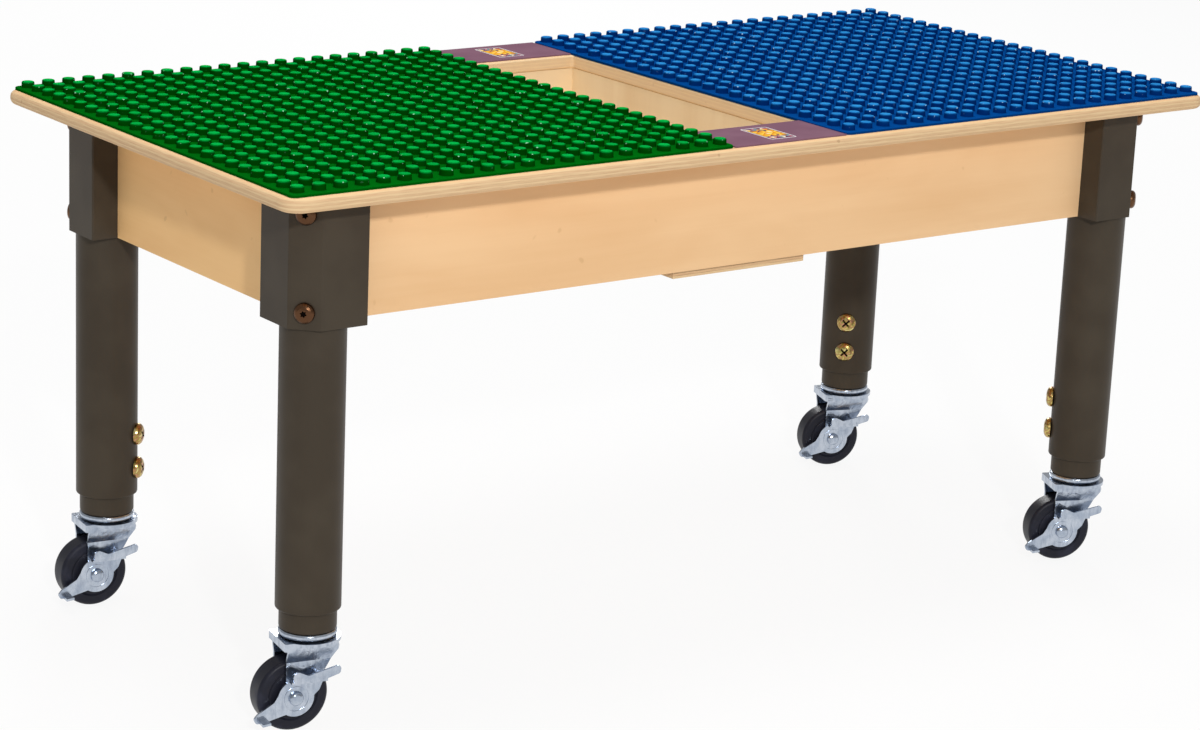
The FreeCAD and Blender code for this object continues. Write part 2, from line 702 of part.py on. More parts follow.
def caster_stem(leg):
    """Stem, race cup and riveted spigot in one turned piece."""
    body = new_body("caster_stem_" + leg)
    stem, spigot, rivet = "stem_diameter / 2", "spigot_diameter / 2", "rivet_head_diameter / 2"
    stem_top = f"({INNER_LOW} + stem_length)"
    rivet_low = f"({CROWN_LOW} - rivet_head_height)"
    turn(body, "XZ", lambda s: polygon(s, [
        ("0", rivet_low), (rivet, rivet_low), (rivet, CROWN_LOW), (spigot, CROWN_LOW), (spigot, CUP_LOW),
        ("cup_radius", CUP_LOW), ("cup_radius", INNER_LOW), (stem, INNER_LOW),
        (stem, f"{stem_top} - stem_bevel"), (f"{stem} - stem_bevel", stem_top), ("0", stem_top)]))
    rim = value("cup_radius")
    round_edges(body, "cup_round", lambda edge: reaches(edge, rim) and not is_upright(edge))
    return body


def swivel_washer(leg):
    body = new_body("swivel_washer_" + leg)
    turn(body, "XZ", lambda s: rectangle(s, SPIGOT_BORE, CROWN_TOP, "washer_radius", CUP_LOW))
    return body


def crown_outline(sketch):
    """The crown from above: a round plate with a square front."""
    radius, half, front = value("crown_radius"), value("crown_front_half_width"), value("crown_front")
    meet = math.sqrt(radius ** 2 - half ** 2)
    swing = math.atan2(half, meet)
    first = sketch.GeometryCount
    whole = Part.Circle(Vector(0, 0, 0), Vector(0, 0, 1), radius)
    sketch.addGeometry(Part.ArcOfCircle(whole, swing, 2 * math.pi - swing), False)
    right = [Vector(meet, -half, 0), Vector(front, -half, 0)]
    left = [Vector(front, half, 0), Vector(meet, half, 0)]
    for start, end in (right, (right[1], left[0]), left):
        sketch.addGeometry(Part.LineSegment(start, end), False)
    for edge in range(4):
        sketch.addConstraint(Sketcher.Constraint("Coincident", first + edge, 2, first + (edge + 1) % 4, 1))
    hold(sketch, "DistanceX", first, 3, "0")
    hold(sketch, "DistanceY", first, 3, "0")
    number = sketch.addConstraint(Sketcher.Constraint("Radius", first, radius))
    sketch.setExpression("Constraints[%d]" % number, on_sheet("crown_radius"))
    for edge, side in ((first, "-"), (first + 1, "-"), (first + 2, ""), (first + 3, "")):
        hold(sketch, "DistanceY", edge, 2, side + "crown_front_half_width")
    hold(sketch, "DistanceX", first + 1, 2, "crown_front")
    hold(sketch, "DistanceX", first + 2, 2, "crown_front")


def fork(leg):
    """Pressed fork: a round crown with a square lip, flared shoulders and two cheeks."""
    body = new_body("fork_" + leg)
    flare = f"({CROWN_LOW} - shoulder_drop)"
    shoulder_in = "(shoulder_half_width - fork_sheet)"
    foot = f"({WHEEL_R} - fork_foot_radius)"
    half = [(CHEEK_OUT, foot), (CHEEK_OUT, flare), ("shoulder_half_width", CROWN_LOW),
            ("shoulder_half_width", CROWN_TOP)]
    inside = [(CHEEK_IN, foot), (CHEEK_IN, flare), (shoulder_in, CROWN_LOW)]
    section = half + [("-" + x, z) for x, z in reversed(half)]
    section += [("-" + x, z) for x, z in inside] + list(reversed(inside))
    pad(body, "YZ", lambda s: polygon(s, section), "-crown_radius", "trail + fork_foot_radius + overrun")
    trim_cheeks(body, foot)
    trim_to_crown(body, flare)
    pad(body, "XY", crown_outline, CROWN_LOW, CROWN_TOP)
    half_width = "crown_front_half_width"
    pad(body, "XY", lambda s: rectangle(s, "cheek_front", "-" + half_width, "crown_front", half_width),
        f"{CROWN_LOW} - crown_skirt", CROWN_LOW)
    front = value("crown_front")
    round_edges(body, "crown_corner_round", lambda edge: is_upright(edge) and reaches(edge, front))
    cut(body, "XY", lambda s: circle(s, "0", "0", SPIGOT_BORE),
        f"{CROWN_LOW} - overrun", f"{CROWN_TOP} + overrun")
    reach = f"({CHEEK_OUT} + overrun)"
    cut(body, "XZ", lambda s: circle(s, "trail", WHEEL_R, AXLE_BORE), "-" + reach, reach)
    return body


def trim_to_crown(body, low):
    """Cuts away what stands outside the crown's outline, seen from above."""
    around = "(crown_radius + crown_front)"

    def outside(sketch):
        rectangle(sketch, "-" + around, "-" + around, around, around)
        crown_outline(sketch)

    cut(body, "XY", outside, low, f"{CROWN_TOP} + overrun")


def trim_cheeks(body, foot):
    """Cuts the cheeks to their side outline: upright in front, sloping to a waist behind."""
    reach = "(crown_radius + crown_front)"
    flare = f"({CROWN_LOW} - shoulder_drop)"
    waist = f"({WHEEL_R} + cheek_waist_rise)"
    toe_front, toe_back = "(trail + fork_foot_radius)", "(trail - fork_foot_radius)"
    tip_front, tip_back = "(trail + fork_foot_radius / 2)", "(trail - fork_foot_radius / 2)"
    below = f"({foot} - overrun)"
    in_front = [(reach, below), (reach, CROWN_LOW), ("cheek_front", CROWN_LOW), ("cheek_front", flare),
                ("cheek_front", f"{WHEEL_R} + fork_foot_radius"), (toe_front, WHEEL_R), (tip_front, foot),
                (tip_front, below)]
    behind = [("-" + reach, below), ("-" + reach, CROWN_LOW), ("-cheek_back", CROWN_LOW),
              ("-cheek_waist_back", waist), (toe_back, WHEEL_R), (tip_back, foot), (tip_back, below)]
    wide = "(shoulder_half_width + overrun)"
    cut(body, "XZ", lambda s: polygon(s, in_front), "-" + wide, wide)
    cut(body, "XZ", lambda s: polygon(s, behind), "-" + wide, wide)


def wheel(leg):
    """Solid wheel about its own Y axis, with rounded shoulders and a ring groove on each face."""
    body = new_body("wheel_" + leg)
    half, hub_half = "(wheel_width / 2)", f"({CHEEK_IN} - hub_side_gap)"
    hub = "(hub_diameter / 2)"
    groove_in = "(wheel_groove_radius - wheel_groove_width / 2)"
    groove_out = "(wheel_groove_radius + wheel_groove_width / 2)"
    side = [(AXLE_BORE, hub_half), (hub, hub_half), (hub, half), (groove_in, half),
            ("wheel_groove_radius", f"{half} - wheel_groove_depth"), (groove_out, half), (WHEEL_R, half)]
    turn(body, "XY", lambda s: polygon(s, side + [(r, "-" + y) for r, y in reversed(side)]))
    radius = value(WHEEL_R)
    round_edges(body, "wheel_edge_round",
                lambda edge: reaches(edge, radius) and edge.BoundBox.YLength < SAME_PLACE)
    return body


def axle(leg):
    """Bolt through fork, wheel and lever, about its own Y axis, with its nut."""
    body = new_body("axle_" + leg)
    nut = [(f"{across} * axle_nut_diameter / 2", f"-({CHEEK_OUT} + {out} * axle_nut_height)")
           for across, out in NUT_SHARES]
    head = [(f"{across} * axle_head_diameter / 2", f"{LEVER_OUT} + {out} * axle_head_height")
            for across, out in DOME_SHARES]
    shank = [("axle_diameter / 2", "-" + CHEEK_OUT), ("axle_diameter / 2", LEVER_OUT)]
    ends = [("0", f"{LEVER_OUT} + axle_head_height"), ("0", f"-({CHEEK_OUT} + axle_nut_height)")]
    turn(body, "XY", lambda s: polygon(s, nut[::-1] + shank + head + ends))
    return body


def scaled(shares):
    """Lever outline from its shares of the wheel's radius."""
    return [(f"{x} * {WHEEL_R}", f"{z} * {WHEEL_R}") for x, z in shares]


def at_corners(edge, corners):
    """True for an edge along Y through one of these corners of a lever outline, clear of the disc."""
    box = edge.BoundBox
    if max(box.XLength, box.ZLength) > SAME_PLACE or box.YLength < SAME_PLACE:
        return False
    place = Vector(box.XMin, 0, box.ZMin)
    if place.Length < value(f"lever_disc_radius + {LEVER_TIP_ROUND}"):
        return False
    return any(place.distanceToPoint(Vector(value(x), 0, value(z))) < SAME_PLACE for x, z in scaled(corners))


def brake_lever(leg):
    """Pressed lever about the axle: a disc with a ring groove, a wing with a ledge and release tab,
    and a pedal."""
    body = new_body("brake_lever_" + leg)
    ledge_out = f"({LEVER_OUT} + lever_ledge_width)"
    pad(body, "XZ", lambda s: circle(s, "0", "0", "lever_disc_radius"), CHEEK_OUT, LEVER_OUT)
    pad(body, "XZ", lambda s: polygon(s, scaled(WING_SHARES)), CHEEK_OUT, LEVER_OUT)
    pad(body, "XZ", lambda s: polygon(s, scaled(PEDAL_SHARES)), CHEEK_OUT, LEVER_OUT)
    round_edges(body, LEVER_TIP_ROUND, lambda edge: at_corners(edge, PEDAL_SHARES[1:5]))
    pad(body, "XZ", lambda s: polygon(s, scaled(LEDGE_SHARES)), CHEEK_OUT, ledge_out)
    tab_in = f"({ledge_out} - release_tab_sheet)"
    pad(body, "XZ", lambda s: polygon(s, scaled(RELEASE_SHARES)), tab_in, ledge_out)
    round_edges(body, LEVER_TIP_ROUND, lambda edge: at_corners(edge, RELEASE_SHARES[1:7]))
    flange_out = f"({LEVER_OUT} + pedal_flange_width)"
    pad(body, "XZ", lambda s: polygon(s, scaled(PEDAL_FLANGE_SHARES)), CHEEK_OUT, flange_out)

    def eye_groove(sketch):
        circle(sketch, "0", "0", "eye_groove_radius - eye_groove_width / 2")
        circle(sketch, "0", "0", "eye_groove_radius + eye_groove_width / 2")

    cut(body, "XZ", eye_groove, f"{LEVER_OUT} - eye_groove_depth", LEVER_OUT)
    cut(body, "XZ", lambda s: circle(s, "0", "0", AXLE_BORE),
        f"{CHEEK_OUT} - overrun", f"{LEVER_OUT} + overrun")
    return body


def leg_and_caster(leg, side_x, side_y, trail_degrees):
    centre_x = f"{side_x} * {LEG_X}"
    centre_y = f"{side_y} * {LEG_Y}"
    diagonal = math.degrees(math.atan2(side_y, side_x))
    for make in (corner_bracket, corner_block, outer_tube, inner_tube, stem_socket, caster_stem):
        place(make(leg), centre_x, centre_y, "0", diagonal)
    for make in (swivel_washer, fork):
        place(make(leg), centre_x, centre_y, "0", trail_degrees)
    trail_x = f"{centre_x} + trail * cos({trail_degrees} deg)"
    trail_y = f"{centre_y} + trail * sin({trail_degrees} deg)"
    for make in (wheel, axle, brake_lever):
        place(make(leg), trail_x, trail_y, WHEEL_R, trail_degrees)


tabletop()
stud_plate("plate_green", -1)
stud_plate("plate_blue", 1)
strip("strip_front", -1)
strip("strip_back", 1)
frame_boards()
leg_screws()
for leg_name, leg_x, leg_y, leg_trail in LEGS:
    leg_and_caster(leg_name, leg_x, leg_y, leg_trail)
doc.recompute()

for item in doc.Objects:
    assert "Invalid" not in item.State and "Error" not in item.State, item.Name + ": " + str(item.State)

os.makedirs("parts", exist_ok=True)
for item in parts:
    assert not item.Shape.isNull(), item.Label + " is empty"
    assert item.Shape.isValid(), item.Label + " isn't valid"
    item.Shape.exportStep(os.path.join("parts", item.Label + ".step"))
    box = item.Shape.BoundBox
    print("%-30s solids %2d  volume %10.1f  z %.1f to %.1f"
          % (item.Label, len(item.Shape.Solids), item.Shape.Volume, box.ZMin, box.ZMax))
print(len(parts), "nodes")
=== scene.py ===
# %% [markdown]
# # A building block play table
# The table's construction comes in as a fixed frame: every board, tube, screw and caster at its
# real size. This lesson adds the looks: plywood with its plies, moulded stud plates, bronze powder
# coat, zinc casters, two labels, a floor, light and the camera.

import math

import bpy
import numpy as np
from mathutils import Matrix, Vector


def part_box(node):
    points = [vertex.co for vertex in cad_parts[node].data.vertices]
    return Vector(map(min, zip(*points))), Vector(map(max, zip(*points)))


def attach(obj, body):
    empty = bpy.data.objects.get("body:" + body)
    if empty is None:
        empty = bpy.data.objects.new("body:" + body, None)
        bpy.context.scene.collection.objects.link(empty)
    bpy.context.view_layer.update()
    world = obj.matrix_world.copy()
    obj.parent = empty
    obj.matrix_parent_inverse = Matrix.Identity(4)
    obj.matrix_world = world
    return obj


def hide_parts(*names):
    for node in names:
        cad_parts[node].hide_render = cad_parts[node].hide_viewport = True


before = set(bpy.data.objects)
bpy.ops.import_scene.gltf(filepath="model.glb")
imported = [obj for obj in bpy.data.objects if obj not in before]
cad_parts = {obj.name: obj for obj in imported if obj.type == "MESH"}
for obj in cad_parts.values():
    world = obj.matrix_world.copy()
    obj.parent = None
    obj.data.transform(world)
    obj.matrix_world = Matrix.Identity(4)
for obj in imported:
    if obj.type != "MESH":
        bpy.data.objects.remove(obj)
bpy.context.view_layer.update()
MM = 0.001

# %% [markdown]
# ## Camera
# The photograph looks at the table's front left corner from a little above, through a long lens,
# and the camera is rolled by about two degrees. The angles were found by fitting the table's
# corners, tubes and wheels to their places in the picture.

# %% Camera
VIEW_AZIMUTH = math.radians(36.80)
VIEW_ELEVATION = math.radians(15.69)
VIEW_ROLL = math.radians(2.48)
VIEW_DISTANCE = 2.21639
VIEW_TARGET = Vector((-0.17433, -0.21467, 0.2455))
VIEW_REACH = 50
LENS_MM = 99.74
SENSOR_MM = 36


def add_camera():
    """A camera that looks along ahead; the roll turns its right and its up from the level."""
    ahead = Vector((math.sin(VIEW_AZIMUTH) * math.cos(VIEW_ELEVATION),
                    math.cos(VIEW_AZIMUTH) * math.cos(VIEW_ELEVATION), -math.sin(VIEW_ELEVATION)))
    level = Vector((math.cos(VIEW_AZIMUTH), -math.sin(VIEW_AZIMUTH), 0))
    above = level.cross(ahead)
    right = level * math.cos(VIEW_ROLL) + above * math.sin(VIEW_ROLL)
    up = above * math.cos(VIEW_ROLL) - level * math.sin(VIEW_ROLL)
    data = bpy.data.cameras.new("photo_camera")
    data.lens = LENS_MM
    data.sensor_width = SENSOR_MM
    data.clip_end = VIEW_REACH
    camera = bpy.data.objects.new("photo_camera", data)
    bpy.context.scene.collection.objects.link(camera)
    turn = Matrix((right, up, -ahead)).transposed()
    camera.matrix_world = Matrix.Translation(VIEW_TARGET - ahead * VIEW_DISTANCE) @ turn.to_4x4()
    bpy.context.scene.camera = camera
    return camera


camera = add_camera()
print("camera at", [round(v, 3) for v in camera.matrix_world.translation])

# %% [markdown]
# ## Wires
# A finish is a graph of nodes. Numbers that vary over a surface are easier to read as sums and
# products than as boxes and wires, so `Wire` stands for one output and knows + - * and /.

# %% Wires
class Wire:
    """What varies over a surface: one output socket of a finish."""

    def __init__(self, finish, socket):
        self.finish = finish
        self.socket = socket

    def maths(self, operation, *others):
        return self.finish.node("ShaderNodeMath", {"operation": operation},
                                dict(enumerate((self,) + others)))

    def __add__(self, other):
        return self.maths("ADD", other)

    def __mul__(self, other):
        return self.maths("MULTIPLY", other)

    def __sub__(self, other):
        return self.maths("SUBTRACT", other)

    def __rsub__(self, other):
        return self * -1 + other

    def __truediv__(self, other):
        return self.maths("DIVIDE", other)

    __radd__ = __add__
    __rmul__ = __mul__

    def band(self, low, high):
        """0 below low, 1 above high and a smooth rise between."""
        return self.finish.node("ShaderNodeMapRange", {"interpolation_type": "SMOOTHSTEP"},
                                {"Value": self, "From Min": low, "From Max": high})


print("a wire has", sum(map(callable, vars(Wire).values())), "methods")

# %% [markdown]
# ## Finishes
# `Finish` holds one material. Its method `node` adds any kind of node, from the node's type, its
# settings and its sockets. The other methods are short names for the nodes used most: the place on
# the object, how squarely a face looks along an axis, noise, a blend of two colours, and a bump.

# %% Finishes
# In a Mix node the two colours are inputs 6 and 7, and their mixture is output 2.
MIX_SHARE, MIX_FIRST, MIX_SECOND, MIX_RESULT = 0, 6, 7, 2


class Finish:
    """One material, with a Principled BSDF that the nodes lead to."""

    def __init__(self, name):
        self.material = bpy.data.materials.new(name)
        self.material.use_nodes = True
        self.tree = self.material.node_tree
        self.tree.nodes.clear()
        self.output = self.tree.nodes.new("ShaderNodeOutputMaterial")
        self.shader = self.tree.nodes.new("ShaderNodeBsdfPrincipled")
        self.tree.links.new(self.shader.outputs[0], self.output.inputs["Surface"])

    def fill(self, node, sockets):
        """Links each wire to its socket and sets the other sockets to their values."""
        for key, content in sockets.items():
            if isinstance(content, Wire):
                self.tree.links.new(content.socket, node.inputs[key])
            else:
                node.inputs[key].default_value = content

    def node(self, kind, settings=None, sockets=None, out=0):
        """Adds a node of any kind and gives the wire from its output out."""
        node = self.tree.nodes.new(kind)
        for key, content in (settings or {}).items():
            if key == "stops":
                set_stops(node.color_ramp, content)
            else:
                setattr(node, key, content)
        self.fill(node, sockets or {})
        return Wire(self, node.outputs[out])

    def surface(self, **sockets):
        """Sets or links the shader's own sockets; an underscore stands for a space."""
        self.fill(self.shader, {key.replace("_", " "): content
                                for key, content in sockets.items()})
        return self.material

    def place(self):
        return self.node("ShaderNodeTexCoord", out="Object")

    def part_of(self, vector, axis):
        return self.node("ShaderNodeSeparateXYZ", {}, {0: vector}, out="XYZ".index(axis))

    def facing(self, axis):
        """How squarely the surface faces along an axis, from 0 to 1."""
        normal = self.node("ShaderNodeTexCoord", out="Normal")
        return self.part_of(normal, axis).maths("ABSOLUTE")

    def noise(self, scale, detail=3.0, rough=0.5, twist=0.0):
        """Noise whose scale is features per metre: one number, or one for each axis."""
        where = self.place()
        if isinstance(scale, tuple):
            where = self.node("ShaderNodeVectorMath", {"operation": "MULTIPLY"},
                              {0: where, 1: scale})
            scale = 1.0
        return self.node("ShaderNodeTexNoise", {}, {"Vector": where, "Scale": scale,
                                                   "Detail": detail, "Roughness": rough,
                                                   "Distortion": twist})

    def blend(self, share, first, second):
        """Mixes two colours; share 0 gives the first."""
        return self.node("ShaderNodeMix", {"data_type": "RGBA"},
                         {MIX_SHARE: share, MIX_FIRST: first, MIX_SECOND: second}, out=MIX_RESULT)

    def bump(self, height, depth, strength):
        return self.node("ShaderNodeBump", {},
                         {"Height": height, "Distance": depth, "Strength": strength})


print("a finish has", sum(map(callable, vars(Finish).values())), "methods")

# %% [markdown]
# ## Colours
# Colours here are read off a screen, from 0 to 255. `paint` undoes the screen's own curve, because
# Blender works with amounts of light, and `set_stops` fills a ramp with such colours.

# %% Colours
def set_stops(ramp, stops):
    """Gives a colour ramp these (position, colour) stops."""
    while len(ramp.elements) > 1:
        ramp.elements.remove(ramp.elements[-1])
    ramp.elements[0].position, ramp.elements[0].color = stops[0]
    for position, colour in stops[1:]:
        ramp.elements.new(position).color = colour


def paint(red, green, blue):
    """A colour read off a screen (0 to 255), as the light that Blender works in."""
    def linear(level):
        share = level / 255
        return share / 12.92 if share <= 0.04045 else ((share + 0.055) / 1.055) ** 2.4
    return (linear(red), linear(green), linear(blue), 1.0)


print("middle grey is", round(paint(128, 128, 128)[0], 3), "of white's light")

# %% [markdown]
# ## Plywood
# The top, aprons and bin are birch plywood under a clear lacquer. Its faces show long pale grain
# with a soft cloudy figure; its edges show the plies, light and dark in turn, with thin glue
# lines. One finish does both: where the surface turns away from the board's thin direction, the
# plies show. The wood that looks into the bin is painted paler, painted light that stands in for
# the light falling into it.

# %% Plywood finish
VENEER_LIGHT = paint(241, 202, 155)
VENEER_DARK = paint(231, 188, 139)
VENEER_FLECK = paint(196, 150, 102)
PLY_LIGHT = paint(226, 196, 152)
PLY_DARK = paint(204, 164, 126)
GLUE_LINE = paint(150, 110, 78)
PAINTED_RIM_LIGHT = paint(248, 222, 182)
BIN_LIGHT = paint(246, 226, 190)
# Distances from the table's middle between which the painted light in the bin fades out.
BIN_REACH_X = (52 * MM, 56 * MM)
BIN_REACH_Y = (141 * MM, 143 * MM)


def per_axis(special, value, others):
    """A scale for each axis: value along the special one, others along the rest."""
    return tuple(value if axis == special else others for axis in "XYZ")


def in_bin(finish):
    """1 on what looks into the bin, where the wood gets its painted light, and 0 elsewhere."""
    across = finish.part_of(finish.place(), "X").maths("ABSOLUTE")
    along = finish.part_of(finish.place(), "Y").maths("ABSOLUTE")
    return (1 - across.band(*BIN_REACH_X)) * (1 - along.band(*BIN_REACH_Y))


def veneer_face(finish, grain, light, dark):
    """The face's colour, with the lines and the pores that also shape it."""
    # Lines and pores run along the grain, and broad clouds lie across them.
    lines = finish.noise(per_axis(grain, 7.0, 480.0), detail=4.0, rough=0.6)
    cloud = finish.noise(per_axis(grain, 4.0, 22.0), detail=3.0, twist=0.6)
    pore = finish.noise(per_axis(grain, 40.0, 1500.0), detail=2.0)
    figure = lines * 0.10 + cloud * 0.90
    colour = finish.blend(figure.band(0.30, 0.74), light, dark)
    knots = finish.noise(95.0, detail=0.0).band(0.80, 0.86)
    colour = finish.blend(pore.band(0.70, 0.80) * 0.10 + knots * 0.30, colour, VENEER_FLECK)
    return colour, lines, pore


def ply_edge(finish, thin, low, ply, glue):
    """The edge's colour, with the streaks that also shape it."""
    # layer counts the plies from the board's face, and sways a little as real ones do.
    depth = finish.part_of(finish.place(), thin)
    layer = (depth - low) / ply + finish.noise(24.0, detail=2.0) * 0.20
    streaks = finish.noise(per_axis(thin, 1400.0, 60.0), detail=3.0)
    # Every second ply is darker, and a thin glue line lies where a ply starts.
    dark_ply = layer.maths("MODULO", 2.0).band(0.94, 1.06)
    colour = finish.blend(dark_ply * 0.45 + streaks.band(0.40, 0.72) * 0.40, PLY_LIGHT, PLY_DARK)
    glue_line = 1 - layer.maths("FRACT").band(0.0, 0.16)
    colour = finish.blend(glue_line * streaks.band(0.30, 0.60) * glue, colour, GLUE_LINE)
    void = finish.noise(110.0, detail=1.0).band(0.76, 0.80)
    return finish.blend(void * 0.4, colour, GLUE_LINE), streaks


def plywood(name, thin, grain, low, ply, light=VENEER_LIGHT, dark=VENEER_DARK, rim=0.0, glue=0.55,
            lining=0.0):
    """Plywood whose board is thin along one axis, with its grain along another.
    low is the thin axis's value at the board's face, and ply is one ply's thickness, in metres.
    rim and lining are how much paler, as painted light, the plies and the face become where they
    look into the bin, and glue is how strongly the glue lines show."""
    finish = Finish(name)
    face, lines, pore = veneer_face(finish, grain, light, dark)
    core, streaks = ply_edge(finish, thin, low, ply, glue)
    # Painted light: plies and face that look into the bin are blended paler.
    painted_light_share = in_bin(finish)
    core = finish.blend(painted_light_share * rim, core, PAINTED_RIM_LIGHT)
    face = finish.blend(painted_light_share * lining, face, BIN_LIGHT)
    on_edge = 1 - finish.facing(thin).band(0.72, 0.93)
    height = lines * 0.4 + pore * 0.3 + on_edge * streaks * 0.5
    return finish.surface(Base_Color=finish.blend(on_edge, face, core),
                          Roughness=0.46 + lines * 0.10 + on_edge * 0.12, Specular_IOR_Level=0.15,
                          Normal=finish.bump(height, 0.10 * MM, 0.3))


print("the bin's paler look fades out at", BIN_REACH_X, BIN_REACH_Y)

# %% [markdown]
# ## The boards' plywood
# A board's finish depends on the way that it is thin, the way that its grain runs, and where its
# plies start, so there is one for the top, the long aprons, the short ones, the bin's walls and
# its floor. The short aprons and the bin are cut from sheets of a slightly different colour.

# %% Boards
SIDE_LIGHT = paint(248, 204, 144)
SIDE_DARK = paint(236, 188, 128)
BIN_DARK = paint(234, 208, 168)
TOP_PLY = 10 * MM / 7
BOARD_PLY = 9 * MM / 5
FLOOR_PLY = 6 * MM / 3
TOP_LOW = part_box("tabletop")[0].z
APRON_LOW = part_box("apron_front")[0].z
FRONT_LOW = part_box("apron_front")[0].y
SIDE_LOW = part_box("apron_left")[0].x
WALL_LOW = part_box("bin_wall_right")[0].x
FLOOR_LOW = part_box("bin_floor")[0].z
# rim and lining give the wood that looks into the bin its painted light.
top_wood = plywood("plywood_top", "Z", "X", TOP_LOW, TOP_PLY, rim=0.55)
front_wood = plywood("plywood_front", "Y", "X", FRONT_LOW, BOARD_PLY, lining=0.8)
side_wood = plywood("plywood_side", "X", "Y", SIDE_LOW, BOARD_PLY, SIDE_LIGHT, SIDE_DARK)
wall_wood = plywood("plywood_bin_wall", "X", "Z", WALL_LOW, BOARD_PLY, BIN_LIGHT, BIN_DARK)
floor_wood = plywood("plywood_bin_floor", "Z", "X", FLOOR_LOW, FLOOR_PLY, BIN_LIGHT, BIN_DARK,
                     glue=1.0)
print("the top starts at", round(TOP_LOW, 4), "and the aprons at", round(APRON_LOW, 4))

# %% [markdown]
# ## Moulded plastic
# The stud plates are deeply coloured, and their light and shade are painted into the colour: a
# mix of three shades, a painted shade for upright faces, a middle shade for the sheet and, as
# painted light, for its rim, and a painted glow for the studs' tops and, fainter, their round
# edges.
# The painted glow drifts a little at random from stud to stud, and here and there a round edge
# holds a tiny painted glint. There is no clear gloss, because a level face seen from so flat an
# angle would mirror the bright room behind it and lose its colour.

# %% Plastic finishes
SHEET_THICK = 2.0 * MM
# Heights above the sheet between which a stud's painted glow starts, and how deep the sheet's
# rim is that takes the middle shade as painted light.
PAINTED_GLOW_FROM, PAINTED_GLOW_FULL = 1.5 * MM, 4.0 * MM
RIM_DEEP = 0.4 * MM


def moulded(name, dark, middle, bright, painted_glint_colour, sheet_top, gloss=0.0):
    """Moulded plastic in three shades of painted light and shade: dark for the shaded upright
    faces, middle for the sheet, bright for the painted glow of the studs' tops, with a few painted
    glints on the studs' round edges. sheet_top is the height of the sheet that carries the studs."""
    finish = Finish(name)
    cloud = finish.noise(18.0, detail=2.0)
    drift = finish.noise(75.0, detail=1.0)
    scuffs = finish.noise((900.0, 260.0, 900.0), detail=4.0, rough=0.65).band(0.56, 0.72)
    # Painted shade: upright faces are dark; level faces and, as painted light, the sheet's rim
    # take the middle shade.
    up = finish.facing("Z")
    height = finish.part_of(finish.place(), "Z")
    above = height.band(sheet_top + PAINTED_GLOW_FROM, sheet_top + PAINTED_GLOW_FULL)
    rim = 1 - height.band(sheet_top - RIM_DEEP, sheet_top)
    colour = finish.blend(up.band(0.30, 0.95) * (cloud * 0.5 + 0.7) + rim * 0.5, dark, middle)

    # Painted light: a stud's top gets a painted glow, whose strength drifts a little at random.
    # Its round edge, the lip, gets less, and a painted glint here and there.
    drifting = drift.band(0.25, 0.75) * 0.30 + cloud * 0.25 + 0.50 + scuffs * 0.10
    lip = above * up.band(0.05, 0.40) * (1 - up.band(0.80, 0.97))
    glow = above * up.band(0.90, 0.995) * drifting + lip * drift.band(0.35, 0.65) * 0.30
    # Painted glints: pale spots painted on a few round edges, standing in for highlights.
    painted_glint = lip * finish.noise(520.0, detail=0.0).band(0.745, 0.80)
    colour = finish.blend(glow, colour, bright)
    ripple = finish.noise(420.0, detail=2.0) * 0.6 + finish.noise(90.0, detail=1.0)
    return finish.surface(
        Base_Color=finish.blend(painted_glint * 0.8, colour, painted_glint_colour),
        Roughness=0.28 + scuffs * 0.12 + cloud * 0.05, Specular_IOR_Level=gloss,
        Normal=finish.bump(ripple, 0.18 * MM, 0.5))


PLATE_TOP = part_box("plate_green")[0].z + SHEET_THICK
# Each finish's colours: the painted shade of upright faces, the middle shade, the painted glow of
# the tops, and the colour of the painted glints.
green_plastic = moulded("green_plastic", paint(0, 66, 3), paint(0, 100, 16), paint(8, 174, 74),
                        paint(172, 240, 200), PLATE_TOP)
blue_plastic = moulded("blue_plastic", paint(0, 42, 104), paint(4, 70, 142), paint(48, 144, 212),
                       paint(184, 224, 250), PLATE_TOP)
black_plastic = moulded("black_plastic", paint(24, 24, 25), paint(40, 40, 42), paint(52, 52, 54),
                        paint(64, 64, 66), PLATE_TOP, gloss=0.4)
print("the sheets' tops are at", round(PLATE_TOP, 4))

# %% [markdown]
# ## Powder coat
# Legs and brackets wear a dark bronze powder coat. Powder melts into a skin with a fine
# orange-peel texture, so its highlight is soft and slightly mottled. The corner screws are plated
# in a redder, brighter bronze.

# %% Powder coat finish
def powder_coat(name, colour, light, roughness, metal=0.0):
    finish = Finish(name)
    peel = finish.noise(1100.0, detail=2.0)
    broad = finish.noise(26.0, detail=2.0)
    return finish.surface(
        Base_Color=finish.blend(broad.band(0.35, 0.7) * 0.6 + peel * 0.15, colour, light),
        Metallic=metal, Roughness=roughness + peel * 0.08, Specular_IOR_Level=0.12,
        Normal=finish.bump(peel + broad * 0.2, 0.08 * MM, 0.5))


bronze_powder = powder_coat("bronze_powder", paint(64, 56, 46), paint(74, 66, 55), 0.36)
bronze_screw = powder_coat("bronze_screw", paint(88, 60, 42), paint(120, 88, 62), 0.24, metal=1.0)
print("bronze finishes:", bronze_powder.name, bronze_screw.name)

# %% [markdown]
# ## Zinc
# Casters are pressed from sheet and bright zinc plated: a bluish mirror with faint rolling streaks
# and cloudy patches; the streaks are also painted darker into its colour, a painted reflection of
# dark surroundings. The height screws are yellow zinc, whose thin chromate film shifts from gold
# to pink and green across each head.

